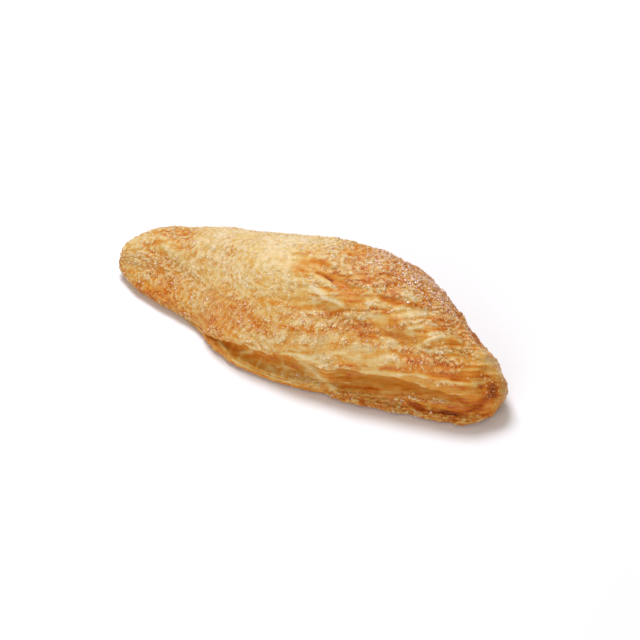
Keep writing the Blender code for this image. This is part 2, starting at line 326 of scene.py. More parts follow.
# Marks drawn on the crust: half width, lift, browning, share of sugar and the places each runs through.
# The places were picked in the photo by eye, carried onto the solid by a scratch script and rounded.
MARKS = {
    # the blunt end and the dome's foot
    "left ridge": (
        1.3, 0.3, 0.24, 0.4, (-60, -2, 19), (-54.5, -3.5, 17.5), (-48.5, -6, 17.5), (-42.5, -8, 17.5),
    ),
    "hollow behind the ridge": (1.5, -0.3, 0.54, 0.7, (-61, 3, 21), (-54.5, -0.5, 21), (-46, -5, 21.5)),
    "furrow before the ridge": (
        1.4, -0.35, 0.56, 0.8, (-69, -2, 16), (-60, -4.5, 15.5), (-54, -5.5, 14.5), (-47, -8.5, 14.5),
        (-39.5, -11.5, 15),
    ),
    "furrow's end": (0.8, -0.35, 0.54, 0.5, (-39.5, -11.5, 15), (-31.5, -15, 16.5), (-20.5, -19.5, 20)),
    "short furrow": (1.1, -0.35, 0.6, 0.7, (-64.5, -6, 12), (-59, -7.5, 10.5), (-55.5, -9, 9.5)),
    "blunt end's foot": (1.2, -0.1, 0.74, 0.4, (-68, -10.5, 2.5), (-61.5, -12.5, 4), (-58, -13, 2.5)),
    "dome's foot": (1.2, -0.1, 0.72, 0.4, (-38, -18, 5.5), (-27, -23, 10), (-20, -25.5, 12.5)),
    "dent": (2.6, -0.2, 0.48, 0.8, (-54.5, -5, 15), (-43.5, -10, 14), (-34.5, -14.5, 14.5)),
    "brown band": (3, -0.2, 0.62, 0.6, (-26, -21, 14), (-20.5, -23, 15), (-14, -23.5, 19), (-3, -27, 19.5)),
    # over the pleats and behind them
    "browned crest": (
        4.5, 0, 0.62, 1, (26, 5, 39.5), (35, 3.5, 38.5), (43.5, 2, 36), (51, 1, 32), (60, -1, 27.5),
    ),
    "crest over the pleats": (4, 0, 0.62, 0.8, (47, -1, 34.5), (52.5, -0.5, 32)),
    "browned shoulder": (3.2, 0, 0.58, 0.6, (60.5, -5.5, 27), (68, -10, 23.5)),
    "pale lump on the crest": (2, 0.4, 0.22, 0.9, (40.5, -6, 36), (44, -5.5, 35)),
    "pale lump over the trough": (1, 0.35, 0.2, 0.2, (45, -11, 32), (47.5, -8.5, 31.5)),
    "thin pleat": (0.7, 0.3, 0.15, 0.1, (47.5, -14.5, 29), (51, -13, 29.5)),
    "line under the pleat": (0.7, -0.25, 0.78, 0.1, (49.5, -14.5, 28.5), (52.5, -13.5, 29)),
    # stretched dough on the top
    "streak over the strands": (0.9, -0.25, 0.66, 0.1, (13, -15, 34), (19.5, -15, 34)),
    "streak beyond them": (1, -0.3, 0.62, 0.1, (24.5, -15, 34), (29, -14.5, 33)),
    "streak on the crest": (1.4, -0.35, 0.74, 0, (35, -10.5, 34.5), (39.5, -10.5, 34)),
    "streak by the short strand": (0.6, -0.3, 0.72, 0.2, (33, -15, 32), (38.5, -13.5, 32.5)),
    "short strand": (0.5, 0.1, 0.24, 0.2, (31.5, -14, 33), (36.5, -12.5, 33)),
    "thin strand": (0.5, 0.25, 0.24, 0, (13, -16, 33.5), (19, -16, 33), (24.5, -16, 33)),
    "pale strand": (0.8, 0.35, 0.08, 0, (9.5, -16, 33.5), (15.5, -17, 32), (23, -17.5, 32)),
    "brown row": (1.9, -0.2, 0.74, 0.9, (20.5, -22, 24.5), (27, -21, 26), (33.5, -19, 27)),
    # the smooth trough and the half-moon flake over its end
    "long trough": (1.1, -0.3, 0.68, 0.1, (38.5, -18, 26.5), (45, -16.5, 26), (50, -16, 25)),
    "row under the trough": (1.2, 0.4, 0.2, 1, (40, -19.5, 24.5), (46, -18.5, 23)),
    "row below that": (1.3, 0.35, 0.24, 1, (43.5, -23, 21.5), (47.5, -22, 21)),
    "brown row between them": (1.1, -0.35, 0.76, 0.1, (47.5, -20.5, 21.5), (53.5, -18.5, 22)),
    "half-moon's hollow": (1.6, -0.35, 0.68, 0, (57.5, -14.5, 26.5), (60.5, -12, 27), (63, -11, 26)),
    # painted shadow: a dark line along the foot of the half-moon flake
    "painted shadow under the half-moon": (0.6, -0.4, 0.78, 0.1, (55.5, -16.5, 25), (61.5, -13, 26.5), (64.5, -10.5, 26)),
    "half-moon's edge": (
        0.6, 0.7, 0.14, 0.1, (53.5, -15.5, 25.5), (56, -15, 28), (58.5, -12.5, 28.5),
        (61.5, -9.5, 27.5), (64, -9.5, 26),
    ),
    # the brown patch, and the flake raised between it and its tongue
    "brown patch": (2.2, -0.2, 0.64, 0.1, (2.5, -10.5, 36.5), (6, -8.5, 38), (11.5, -7.5, 38.5)),
    "tongue": (1.1, -0.5, 0.74, 0, (17, -11.5, 35.5), (19.5, -11, 35), (23, -12, 35)),
    "patch's pale edge": (0.8, 0.3, 0.24, 0.3, (8.5, -12.5, 36), (16, -13, 35)),
    "raised flake": (0.8, 0.5, 0.36, 0.1, (8.5, -9.5, 37.5), (13, -10, 37), (17.5, -10, 36.5)),
    "slit": (0.5, -1, 1, 0, (9.5, -11, 36.5), (12.5, -11, 36), (16, -11.5, 35.5)),
    # painted shadow: a dark band along the tongue's deeper side
    "painted shadow in the tongue": (0.9, -0.3, 0.7, 0, (17, -11.5, 35.5), (20, -11.5, 35), (23, -12, 35)),
    # the top sheet's edge
    "upper streak": (1.1, -0.2, 0.75, 0.2, (43, -26.5, 17.5), (53.5, -21.5, 19.5), (63.5, -18, 21)),
    "lower streak": (1, -0.2, 0.75, 0, (51, -24.5, 17), (64, -20.5, 18.5), (71.5, -17.5, 18)),
    # painted shade: a dark band along the top sheet's edge, below its pale rim
    "painted shade along the sheet edge": (
        1.1, -0.15, 0.6, 0, (47, -25.5, 15), (55, -24, 16), (62.5, -23, 15.5), (69, -21, 15),
        (73.5, -18.5, 14.5),
    ),
    "pale sheet rim": (
        0.6, 0.3, 0.24, 0, (47, -25.5, 16.5), (55, -23.5, 18), (62.5, -22, 18), (69, -20, 17.5),
        (74, -16.5, 16.5),
    ),
    "closing corner": (0.6, -0.3, 0.92, 0, (75, -15.5, 15), (75.5, -15.5, 15)),
    # the crack over the bottom crust
    # painted shade: the crease is darkened where shade falls in it; its dark end is partly its own red-brown
    # and partly painted shade
    "crease": (1.7, -0.7, 0.84, 0, (74, -16.5, 7.5), (76.5, -14.5, 9.5), (78.5, -13, 13.5)),
    "crease's dark end": (2.5, -0.3, 0.95, 0.3, (78.5, -12.5, 14.5), (78.5, -13.5, 12)),
    # painted shade: the crack and its wide start are darkened where shade falls in the gap
    "crack's wide start": (1, -0.4, 0.8, 0, (52, -22.5, 4.5), (57, -22, 4)),
    "crack": (
        0.55, -0.8, 0.88, 0, (52, -22.5, 4.5), (60, -21.5, 3.5), (68.5, -19.5, 4), (72.5, -18.5, 6),
        (75, -15.5, 7.5), (77, -14.5, 10.5),
    ),
    "nick": (0.5, -0.2, 0.84, 0, (36, -24, 5.5), (41, -22.5, 6)),
    # the pocket and the bottom crust's rim
    "browned wall": (2.3, 0, 0.71, 0, (-29, -22, 3), (-15, -26, 5), (-7.5, -26, 6.5), (2, -25.5, 6)),
    "first fold": (0.8, 0.5, 0.38, 0, (-22, -25, 4.5), (-18, -27.5, 4)),
    "second fold": (0.8, 0.5, 0.4, 0, (-11.5, -27.5, 5), (-8, -26, 6)),
    "third fold": (0.8, 0.5, 0.4, 0, (1, -28, 4), (3.5, -29.5, 3.5)),
    "brown spot": (1.5, 0, 0.86, 0, (4.5, -28.5, 4), (5, -28.5, 4)),
    "fold by the strand": (0.9, 0.4, 0.42, 0, (5.5, -26.5, 5.5), (7, -28, 4)),
    "sheet edge by the strand": (0.7, 0.2, 0.24, 0.1, (7.5, -31, 14), (12, -30.5, 15), (22, -29.5, 14)),
    "hollow by the strand": (1.2, -0.2, 0.68, 0, (5.5, -25, 7.5), (9, -25, 7.5), (12.5, -25.5, 6.5)),
    "outer layer": (3, 0.2, 0.46, 0.4, (6.5, -28.5, 4), (13.5, -29.5, 4), (15.5, -26.5, 5), (21, -29, 3)),
    "strand": (1.2, 0.6, 0.28, 0, (11.5, -24.5, 8), (15, -25, 7), (20.5, -27, 6), (26.5, -28, 4.5)),
    "smooth shelf": (
        2.6, 0, 0.62, 0, (34, -21, 7.5), (41.5, -20, 7.5), (48.5, -19.5, 8.5), (55.5, -18.5, 9.5),
        (61, -18, 9.5),
    ),
    "browned rim": (
        1.6, 0, 0.66, 0.2, (-37, -18, 1), (-12.5, -30.5, 1.5), (-1, -31.5, 1), (7, -31, 1), (22, -29, 1),
    ),
    "rim's pale line": (
        0.35, 0.2, 0.36, 0.1, (-37, -18, 1.5), (-12.5, -30.5, 3), (-1, -31.5, 2.5), (7, -31, 2.5),
        (22, -29, 2),
    ),
}

PALETTE = [  # browning, and the crust's colour there in sRGB
    (0.00, (230, 214, 180)),
    (0.18, (224, 200, 152)),
    (0.36, (215, 184, 118)),
    (0.52, (209, 159, 77)),
    (0.66, (204, 133, 43)),
    (0.80, (189, 98, 20)),
    (1.00, (112, 40, 10)),
]
SUGAR_TINT = (240, 206, 158)  # sugar baked onto the crust: paler and pinker than the crust under it
SUGAR_SHARE = 0.55  # how much of that shows where the sugar is thickest
CLEAR_SUGAR = [(0.35, (224, 184, 152)), (0.65, (242, 218, 200))]  # noise, and clear sugar's colour there
# Noise in the crust's colour: swells to a metre, its change of the browning, and how sugar changes that
SPECKS, SPECK_CHANGE, SPECK_SUGARED = 1700.0, 0.14, 0.36
STREAKS, STREAK_CHANGE, STREAK_SUGARED = 1100.0, 0.40, -0.10
CLOUDS, CLOUD_CHANGE = 420.0, 0.26
STREAK_STRETCH = (0.16, 1.0, 0.3)  # along the rows, across them and in depth
STREAK_HEIGHT = 0.8  # how much they count in the finest relief
BUMP_STRENGTH, BUMP_HEIGHT = 0.6, 0.5  # of that relief, which is too fine for the mesh
SUGAR_TINTS = 700.0  # swells to a metre in the clear sugar's tint
LIGHT_DEPTH = 0.6  # how far light goes into the crust, as a scale on its radius for red, green and blue
LIGHT_RADIUS = (1.0, 0.7, 0.45)

# The sugar's three kinds: count, sizes, flatness, share sunk into the crust, and how tumbled its grains are
GRAINS = {
    "sugar_coarse": (9500, (0.6, 1.2), 0.48, 0.62, 0.2),
    "sugar_fine": (24000, (0.3, 0.65), 0.45, 0.55, 0.3),
    "sugar_clear": (1500, (0.35, 0.7), 1.0, 0.35, 1.0),
}
GRAIN_UNEVEN = (0.7, 1.3)  # a grain's length, width and height, as shares of its size
CORNER_UNEVEN = (0.8, 1.15)  # how far out each of its corners is
GRAIN_LOWEST = 0.02  # height above the table of the lowest corners
GRAIN_BROWNEST, GRAIN_PALER, GRAIN_SPREAD = 0.70, 0.08, 0.08  # grains are a little paler than the crust
GRAIN_PALENESS = (0.3, 1.0)  # how much of the sugar's own tint a grain shows
PALENESS_ENDS = (0.5, 0.75)  # browning of the crust over which its grains lose some of it
BLOCK_HALF = 0.8  # half a block's side, where a pebble's radius is 1
GATHERING = 1.7  # baked grains gather where the sugar is thick: their density is its share to this power

# The camera: angles in degrees, lengths in millimetres
AZIMUTH, ELEVATION = 30.0, 36.0
AIM = (5.43, -1.81, 9.11)  # the point in the middle of the picture
DISTANCE = 700.0
LENS, SENSOR = 111.6, 36.0
NEAREST, FURTHEST = 10.0, 20000.0  # what the camera sees lies between these

# Soft daylight: each lamp's place and size in metres, and its energy in watts
LAMPS = {
    "key": ((-0.28, 0.22, 0.90), 0.45, 7.5),
    "fill": ((0.15, -0.85, 0.33), 0.6, 3.3),
}
LAMP_COLOUR = (0.96, 1.0, 1.11)
SKY_COLOUR = (1.0, 0.89, 0.76, 1.0)
SKY_STRENGTH, SKY_OVERHEAD = 0.16, 0.37  # all round, and how much more straight above
TABLE_HALF, TABLE_WHITE = 3.0, 0.9  # half its side in metres, and how much light it gives back


def linear(rgb):
    """An sRGB colour of 0 to 255 as the linear RGBA that shaders take."""
    made = [c / 255 / 12.92 if c <= 10 else ((c / 255 + 0.055) / 1.055) ** 2.4 for c in rgb]
    return (*made, 1.0)


def smooth(value, start, full):
    """0 up to start, 1 from full on, and a smooth step between, whichever of the two is larger."""
    t = np.clip((value - start) / (full - start), 0.0, 1.0)
    return t * t * (3 - 2 * t)


def faded(name, zone):
    """1 outside the zone, and inside it what is left of the named thing."""
    return 1 - FADES[name] * zone


def hump(value, middle, reach):
    """1 at the middle, fading to 0 over the reach on both sides."""
    return np.exp(-(((value - middle) / reach) ** 2))


def swell(points, size, seed):
    """Smooth noise in -1 to 1 at each point; size is that of its swells along each axis."""
    moved = points / np.array(size, float) + SEED_STEP * seed
    return np.array([noise.noise(p) for p in moved.tolist()])


def stepped(phase, rise, fall, drop):
    """One step for each whole number of the phase, which rises and then falls by the drop."""
    share = phase - np.floor(phase)
    return smooth(share, *rise) * (1 - drop * smooth(share, *fall))


def finer_copy(node):
    """The node's mesh with its triangles joined into quads and subdivided."""
    body = bmesh.new()
    body.from_mesh(node.data)
    bmesh.ops.remove_doubles(body, verts=body.verts, dist=WELD * MM)
    bend = {"angle_face_threshold": math.radians(90), "angle_shape_threshold": math.radians(90)}
    bmesh.ops.join_triangles(body, faces=body.faces, **bend)
    coarse = bpy.data.meshes.new("coarse")
    coarse.from_pydata([v.co for v in body.verts], [], [[v.index for v in f.verts] for f in body.faces])
    body.free()
    carrier = add_piece("carrier", coarse)
    finer = carrier.modifiers.new("finer", "SUBSURF")
    finer.levels = finer.render_levels = SUBDIVISIONS
    graph = bpy.context.evaluated_depsgraph_get()
    mesh = bpy.data.meshes.new_from_object(carrier.evaluated_get(graph))
    bpy.data.objects.remove(carrier)
    return mesh


def add_piece(name, data):
    """A new object with this data, linked to the scene."""
    piece = bpy.data.objects.new(name, data)
    bpy.context.scene.collection.objects.link(piece)
    return piece


def vectors(items, name):
    """The named vector of each item, one to a row."""
    values = np.empty(len(items) * 3, np.float32)
    items.foreach_get(name, values)
    return values.reshape(-1, 3).astype(float)


class Crust:
    """What is known at each vertex of the crust before it gets its relief."""

    def __init__(self, mesh):
        self.points = vectors(mesh.vertices, "co") / MM
        self.normals = vectors(mesh.vertex_normals, "vector")
        x, y, z = self.points.T
        middle, height = self.axis()
        turn = np.arctan2(y - middle, z - AXIS_HEIGHT * height)
        self.measures = {"x": x, "y": y, "z": z, "turn": turn}
        self.flow = self.row_places()
        self.back = self.zone("back")
        self.shelter = self.sheltered(mesh) * self.zone("sheet lifts off")
        self.floor = smooth(-self.normals[:, 2], *FACES_DOWN) * self.zone("underside")
        self.pocket = self.shelter * (1 - self.floor)
        self.skin = (1 - self.pocket) * (1 - self.floor)  # all that is neither pocket nor underside
        self.lip, self.under = self.near_lip()
        self.flaky = self.zone("flaky") * faded("flakes at the tip", self.zone("narrow tip"))
        self.flaky *= faded("flakes behind", self.back)
        self.pleated = self.flaky * self.zone("pleated")
        self.calm = self.zone("calm") * self.zone("calm front")  # smoother dough under the half-moon flake
        self.far_side = self.zone("far side")

    def zone(self, name):
        """0 outside the zone, 1 well inside it, and a smooth step between."""
        measure, start, full = ZONES[name]
        return smooth(self.measures[measure], start, full)

    def row_places(self):
        """Each vertex's place along the dough's rows, across them and in depth."""
        x, y, turn = (self.measures[name] for name in ("x", "y", "turn"))
        beyond = CROWN_STRETCH * np.maximum(CROWN[0] - x, 0)
        beyond = CROWN_REACH * np.tanh(beyond / CROWN_REACH) + CROWN_ROUNDING
        rows = ROWS_START - np.hypot(GIRTH_RADIUS * turn - CROWN[1], beyond)
        rows += (self.points @ LAYER_NORMAL - rows) * self.zone("layers lean")
        return np.column_stack((x, rows, y))

    def near_lip(self):
        """1 at the edge of the top sheet, fading over the skin, and the same fading into the pocket."""
        _, y, z = self.points.T
        inside = np.nonzero(self.shelter > HIDDEN)[0]
        outside = np.nonzero((z > LIP_LOWEST) & (y < 0) & (self.shelter < OPEN))[0]
        found = []
        for edge, others, width in ((inside, outside, LIP_EDGE), (outside, inside, LIP_SHADE)):
            tree = KDTree(len(edge))
            for k in edge:
                tree.insert(self.points[k], int(k))
            tree.balance()
            near = np.zeros(len(self.points))
            near[others] = [math.exp(-((tree.find(self.points[k])[2] / width) ** 2)) for k in others]
            found.append(near)
        return found

    def axis(self):
        """The middle y and the top z of the section at each vertex."""
        x, y, z = self.points.T
        bins = np.linspace(LOW[0], HIGH[0], AXIS_BINS + 1)
        centres = 0.5 * (bins[1:] + bins[:-1])
        where = np.clip(np.digitize(x, bins) - 1, 0, AXIS_BINS - 1)
        middle = [0.5 * (y[where == k].min() + y[where == k].max()) for k in range(AXIS_BINS)]
        top = [z[where == k].max() for k in range(AXIS_BINS)]
        blur = np.ones(AXIS_BLUR) / AXIS_BLUR
        padded = [np.pad(level, AXIS_BLUR // 2, "edge") for level in (middle, top)]
        return [np.interp(x, centres, np.convolve(level, blur, "valid")) for level in padded]

    def sheltered(self, mesh):
        """1 where the top sheet hangs over the vertex, 0 where the vertex sees the sky."""
        mesh.calc_loop_triangles()
        triangles = [t.vertices[:] for t in mesh.loop_triangles]
        tree = BVHTree.FromPolygons(self.points.tolist(), triangles)
        rays = [Vector((0.0, -math.sin(angle), math.cos(angle))) for angle in SHELTER_RAYS]
        hidden = np.zeros(len(self.points))
        _, y, z = self.points.T
        for k in np.nonzero((self.normals[:, 1] < SHELTER_FACING) & (y < 0) & (z < SHELTER_TOP))[0]:
            start = Vector(self.points[k] + RAY_START * self.normals[k])
            met = [tree.ray_cast(start, ray, SHELTER_REACH)[0] is not None for ray in rays]
            hidden[k] = sum(met) / len(met)
        return hidden

    def rows(self, name):
        """Noise drawn out along the dough's rows."""
        length, width, seed = ROW_NOISE[name]
        return swell(self.flow, (length, width, ROW_DEPTH), seed)

    def loose(self, name):
        """Noise that follows no row."""
        return swell(self.points, *LOOSE_NOISE[name])

    def flowing(self, name):
        """Noise in the rows' own directions."""
        return swell(self.flow, *FLOW_NOISE[name])

    def torn_edges(self):
        """How high the layers' torn edges stand: steep on their lower side, sloping off on the upper."""
        phase = self.flow[:, 1] / FLAKE_SPACING
        phase += EDGE_SWAY * self.rows("edges sway") + EDGE_SHAKE * self.rows("edges shake")
        return stepped(phase, *EDGE_STEP)


def beads(points):
    """Rounded bumps packed side by side: 1 on their tops, 0 between them."""
    moved = points / BEAD_STRETCH / BEAD + BEAD_START
    far = np.array([noise.voronoi(p)[0][0] for p in moved.tolist()])
    return np.clip(1 - (far / BEAD_FOOT) ** 2, 0, 1)


def near_line(points, line, width):
    """1 on the line through the given places, fading to 0 over the width beside it."""
    far = np.full(len(points), FAR)
    for start, end in zip(line, line[1:]):
        start, step = np.array(start), np.subtract(end, start)
        share = np.clip((points - start) @ step / (step @ step), 0, 1)
        far = np.minimum(far, np.linalg.norm(points - start - share[:, None] * step, axis=1))
    return np.exp(-((far / width) ** 2))


def room(points, normals):
    """How far each point can move along its normal and stay in the solid's box."""
    sloped = np.abs(normals) > SLOPED
    aim = np.where(normals > 0, HIGH, LOW)
    steps = np.where(sloped, (aim - points) / np.where(sloped, normals, 1), FAR)
    return np.maximum(steps.min(1), 0)


class BakedCrust(Crust):
    """The crust's relief, browning and share of sugar at each vertex, from rows down to single marks."""

    def __init__(self, mesh):
        super().__init__(mesh)
        self.streaks = self.rows("streaks")
        self.swells = self.rows("swells")
        self.fine = self.rows("fine")
        self.bead = beads(self.flow)
        rows = self.rows("rows") * faded("rows in the pleats", self.pleated)
        self.ridge = smooth(rows + LUMPS * self.loose("lumps") * self.pleated, *COMES_IN["ridges"])
        self.torn = self.torn_edges()
        self.torn_share = smooth(self.rows("torn"), *COMES_IN["torn edges"])
        self.torn_share *= faded("torn edges in the pleats", self.pleated)
        self.webs = smooth(self.loose("webs"), *COMES_IN["webs"]) * self.zone("webbed")

        self.sugar = self.first_sugar()
        self.lift = self.first_lift()
        self.brown = self.first_brown()
        self.fill_pocket()
        self.tear_rim()
        self.draw_marks()
        self.bead_sugar()

    def first_sugar(self):
        """Sugar all over the blunt half and on the flaky one's ridges, but little on crown and nose."""
        x, y, _ = self.points.T
        even = SUGAR["everywhere"] + SUGAR["clouds"] * self.loose("sugar")
        even += SUGAR["rows"] * self.rows("sugar rows")
        ridged = SUGAR["between ridges"] + SUGAR["ridges"] * self.ridge
        sugar = even + (ridged - even) * self.flaky + SUGAR["pleated"] * self.pleated
        sugar *= faded("sugar on the crown", hump(x, *CROWN_ALONG) * hump(y, *CROWN_ACROSS))
        sugar *= (self.shelter < SUGARLESS) * faded("sugar on the lip", self.lip)
        return sugar * faded("sugar on the nose", self.zone("bare nose"))

    def first_lift(self):
        """Swells and streaks along the rows, ridges and torn edges, and the outline's humps and hollows."""
        x = self.points[:, 0]
        lift = LIFT["swells"] * self.swells + LIFT["streaks"] * self.streaks + LIFT["fine"] * self.fine
        lift *= faded("relief on calm dough", self.calm)
        flakes = LIFT["ridges"] * (self.ridge - LEVEL["ridges"])
        flakes += LIFT["torn edges"] * (self.torn - LEVEL["torn edges"]) * self.torn_share
        flakes += LIFT["flaky streaks"] * self.streaks + LIFT["flaky fine"] * self.fine
        lift += self.flaky * faded("flakes on calm dough", self.calm) * flakes
        for middle, reach, height in KNUCKLES:
            lift += height * hump(x, middle, reach) * self.zone("knuckled")
        middle, reach, height = CREST
        lift += height * hump(x, middle, reach) * self.zone("crest")
        return lift * self.skin

    def browned_top(self):
        """1 on the top towards the narrow end, where it is browned most, and weaker on the far side."""
        share = self.begins(*BROWNED_FROM) * self.zone("browned top")
        share *= faded("browned top at the nose", self.zone("browning ends"))
        return share * faded("browned top behind", self.far_side)

    def begins(self, start, full):
        """0 up to the start along x and 1 from full on, in a longer step on the back."""
        slower = SLOWER_BEHIND * self.back
        return smooth(self.points[:, 0], start - slower, full + slower)

    def first_brown(self):
        """Browning by where the skin lies, and by its relief."""
        zone = self.zone
        x, y, _ = self.points.T
        brown = np.full(len(x), BROWN["everywhere"])
        for name in ("narrow half", "blunt end", "narrow end"):
            brown += BROWN[name] * zone(name)
        brown += (BROWN["foot"] + BROWN["blunt foot"] * zone("blunt foot")) * zone("foot")
        brown += BROWN["front"] * zone("front") * zone("blunt half")
        pale = faded("pale top behind", self.far_side)
        brown += BROWN["pale top"] * zone("pale top") * zone("pale half") * pale
        brown += (BROWN["browned top"] + BROWN["browned most"] * zone("browned most")) * self.browned_top()
        brown += BROWN["pleated"] * self.pleated
        brown += BROWN["nose front"] * zone("nose") * zone("nose front")
        brown += BROWN["broad"] * self.flowing("broad") + BROWN["blotches"] * self.loose("blotches")
        brown += BROWN["streaks"] * self.streaks + BROWN["swells"] * self.swells + BROWN["fine"] * self.fine
        flakes = BROWN["between ridges"] * (LEVEL["ridges' browning"] - self.ridge)
        flakes += BROWN["patches"] * self.rows("patches") + BROWN["flaky streaks"] * self.streaks
        flakes += BROWN["under torn edges"] * (LEVEL["torn edges"] - self.torn) * self.torn_share
        brown += self.flaky * faded("browning on calm dough", self.calm) * flakes
        for along, across, length, width, change in SPOTS.values():
            brown += change * hump(x, along, length) * hump(y, across, width)
        return brown * self.skin + BROWN["lip"] * self.lip

    def fill_pocket(self):
        """The pocket's thin layers, one over the other, and the webs of dough at its blunt side."""
        stack = self.points[:, 2] / LAYER_HEIGHT
        stack += LAYER_SWAY * self.loose("layers") + LAYER_SHAKE * self.loose("layer edges")
        layers = stepped(stack, *LAYER_STEP)
        shelf = self.zone("shelf") * self.zone("shelf height")  # smoother than the rest
        steps = LIFT["layers"] * faded("layers on the shelf", shelf) * (layers - LEVEL["layers"])
        self.lift += self.pocket * (steps + LIFT["webs"] * self.webs)
        self.lift += LIFT["lip"] * (self.lip + self.under) * self.loose("lip")
        streaked = BROWN["layers"] * (LEVEL["layers' browning"] - layers)
        streaked += BROWN["pocket streaks"] * self.loose("pocket streaks")
        streaked *= faded("streaks on the shelf", shelf)
        self.brown += self.pocket * (BROWN["pocket"] + streaked + BROWN["webs"] * self.webs)
        # Painted shade darkens the pocket just under the lip; the underside's browning is its own colour.
        self.brown += BROWN["painted shade under the lip"] * self.under + BROWN["underside"] * self.floor

    def tear_rim(self):
        """The bottom crust's rim: ragged and sugared towards the narrow end, webbed and bare before."""
        zone = self.zone
        rim = (1 - self.floor) * (self.points[:, 1] < 0)
        ragged = rim * zone("ragged height") * zone("ragged")
        bared = rim * zone("bared") * zone("bared till") * zone("bared height")
        self.sugar = np.maximum(self.sugar, SUGAR["ragged rim"] * ragged)
        self.sugar *= faded("sugar on the bared rim", bared)
        self.lift += LIFT["rim webs"] * (self.webs - LEVEL["webs"]) * bared
        self.lift += LIFT["ragged"] * ragged * self.loose("rim")
        self.brown += BROWN["rim webs"] * self.webs * bared
        self.brown += (RIM_BROWN - self.brown) * RIM_SHARE * ragged

    def draw_marks(self):
        """Single marks, whose edges wander a little. Each has its own browning and share of sugar."""
        size, seed = FLOW_NOISE["wander"]
        astray = np.column_stack([swell(self.flow, size, seed + k) for k in range(3)])
        points = self.points + WANDER * astray
        self.brown = np.clip(self.brown, PALEST_FLAKY * self.flaky, BROWNEST)
        for width, height, level, sugared, *line in MARKS.values():
            near = near_line(points, line, width)
            self.lift = self.lift * faded("relief under a mark", near) + height * near
            self.brown += (level - self.brown) * near
            self.sugar += (sugared - self.sugar) * near
        self.sugar = np.clip(self.sugar, 0, 1) * (1 - self.floor)

    def bead_sugar(self):
        """Beads where sugar has baked on, paler on their tops and darker between them: browner dough there,
        with painted shade.
        """
        above = (self.bead - LEVEL["beads"]) * self.sugar
        self.lift += LIFT["beads"] * above + LIFT["skin"] * self.skin * self.loose("skin")
        self.lift = np.minimum(self.lift * (1 - self.floor), room(self.points, self.normals))
        # darker between the beads: the dough's own browner colour, with painted shade
        between = -BROWN["brown and painted shade between beads"] * above
        late = BROWN["late streaks"] * self.streaks * self.flaky
        self.brown += late + between * faded("beads where browned", smooth(self.brown, *SUGAR_BROWNS))
        self.grain = self.bead * self.sugar * (GRAIN + GRAIN_SWELL * self.flowing("grain"))
        self.grain *= faded("beads where browned", smooth(self.brown, *SUGAR_BROWNS))
        self.grain *= faded("grain near the table", 1 - self.zone("off the table"))

    def places(self):
        """Where the vertices end up: moved along their normals, and none below the table."""
        moved = self.points + self.normals * self.lift[:, None]
        moved[:, 2] = np.maximum(moved[:, 2], 0.0)
        return moved

    def clear_sugar(self):
        """How dense the clear sugar is: thick on the browned top, in clusters, and thin elsewhere."""
        frosted = self.begins(*FROSTED_FROM) * self.zone("frosted till") * self.zone("frosted top")
        frosted *= faded("frost behind", self.far_side)
        frosted *= FROST_LEAST + FROST_SWELL * smooth(self.loose("frost"), *COMES_IN["frost"])
        return self.sugar**2 * (CLEAR_THIN * smooth(self.brown, *CLEAR_FROM) + CLEAR_FROSTED * frosted)


def make_crust():
    """The piece that takes the solid's place, and how it is baked."""
    mesh = finer_copy(CROISSANT)
    baked = BakedCrust(mesh)
    mesh.vertices.foreach_set("co", (baked.places() * MM).astype(np.float32).ravel())
    mesh.update()
    for name, values in (("brown", baked.brown), ("sugar", baked.sugar), ("grain", baked.grain)):
        store(mesh, name, values)
    flow = mesh.attributes.new("flow", "FLOAT_VECTOR", "POINT")
    flow.data.foreach_set("vector", (baked.flow * MM).astype(np.float32).ravel())
    mesh.shade_smooth()
    mesh.materials.clear()
    mesh.materials.append(crust_material())
    piece = add_piece("crust", mesh)
    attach(piece, "root")
    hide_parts("croissant")
    return piece, baked


def store(mesh, name, values):
    """Keeps a value from 0 to 1 for each vertex."""
    attribute = mesh.attributes.new(name, "FLOAT", "POINT")
    attribute.data.foreach_set("value", np.clip(values, 0, 1).astype(np.float32))


def nodes_of(material):
    """The material's nodes, its links and its shader."""
    material.use_nodes = True
    return material.node_tree.nodes, material.node_tree.links, material.node_tree.nodes["Principled BSDF"]


def value_noise(nodes, links, place, scale, detail=3.0):
    """Smooth noise round 0.5."""
    made = nodes.new("ShaderNodeTexNoise")
    made.inputs["Scale"].default_value = scale
    made.inputs["Detail"].default_value = detail
    made.inputs["Roughness"].default_value = 0.55
    links.new(place, made.inputs["Vector"])
    return made.outputs["Fac"]


def mathed(nodes, links, operation, *inputs):
    """The output of a Math node on numbers or other nodes' outputs."""
    made = nodes.new("ShaderNodeMath")
    made.operation = operation
    for socket, value in zip(made.inputs, inputs):
        if isinstance(value, (int, float)):
            socket.default_value = value
        else:
            links.new(value, socket)
    return made.outputs[0]


def attribute_value(nodes, name):
    """What was stored under the name."""
    made = nodes.new("ShaderNodeAttribute")
    made.attribute_name = name
    return made.outputs["Fac"]


def colour_ramp(nodes, links, value, steps):
    """The colour that the steps give to a value; each is (value, sRGB colour)."""
    ramp = nodes.new("ShaderNodeValToRGB")
    elements = ramp.color_ramp.elements
    elements.remove(elements[1])
    elements[0].position, elements[0].color = steps[0][0], linear(steps[0][1])
    for position, rgb in steps[1:]:
        elements.new(position).color = linear(rgb)
    links.new(value, ramp.inputs["Fac"])
    return ramp.outputs["Color"]


def row_streaks(nodes, links):
    """Fine noise drawn out along the rows."""
    layers = nodes.new("ShaderNodeAttribute")
    layers.attribute_name = "flow"
    stretch = nodes.new("ShaderNodeVectorMath")
    stretch.operation = "MULTIPLY"
    stretch.inputs[1].default_value = STREAK_STRETCH
    links.new(layers.outputs["Vector"], stretch.inputs[0])
    return value_noise(nodes, links, stretch.outputs["Vector"], STREAKS, 2.0)


def varied(nodes, links, tone, pattern, amount):
    """The tone with a pattern round 0.5 added to it by the amount."""
    change = mathed(nodes, links, "SUBTRACT", pattern, 0.5)
    return mathed(nodes, links, "MULTIPLY_ADD", change, amount, tone)


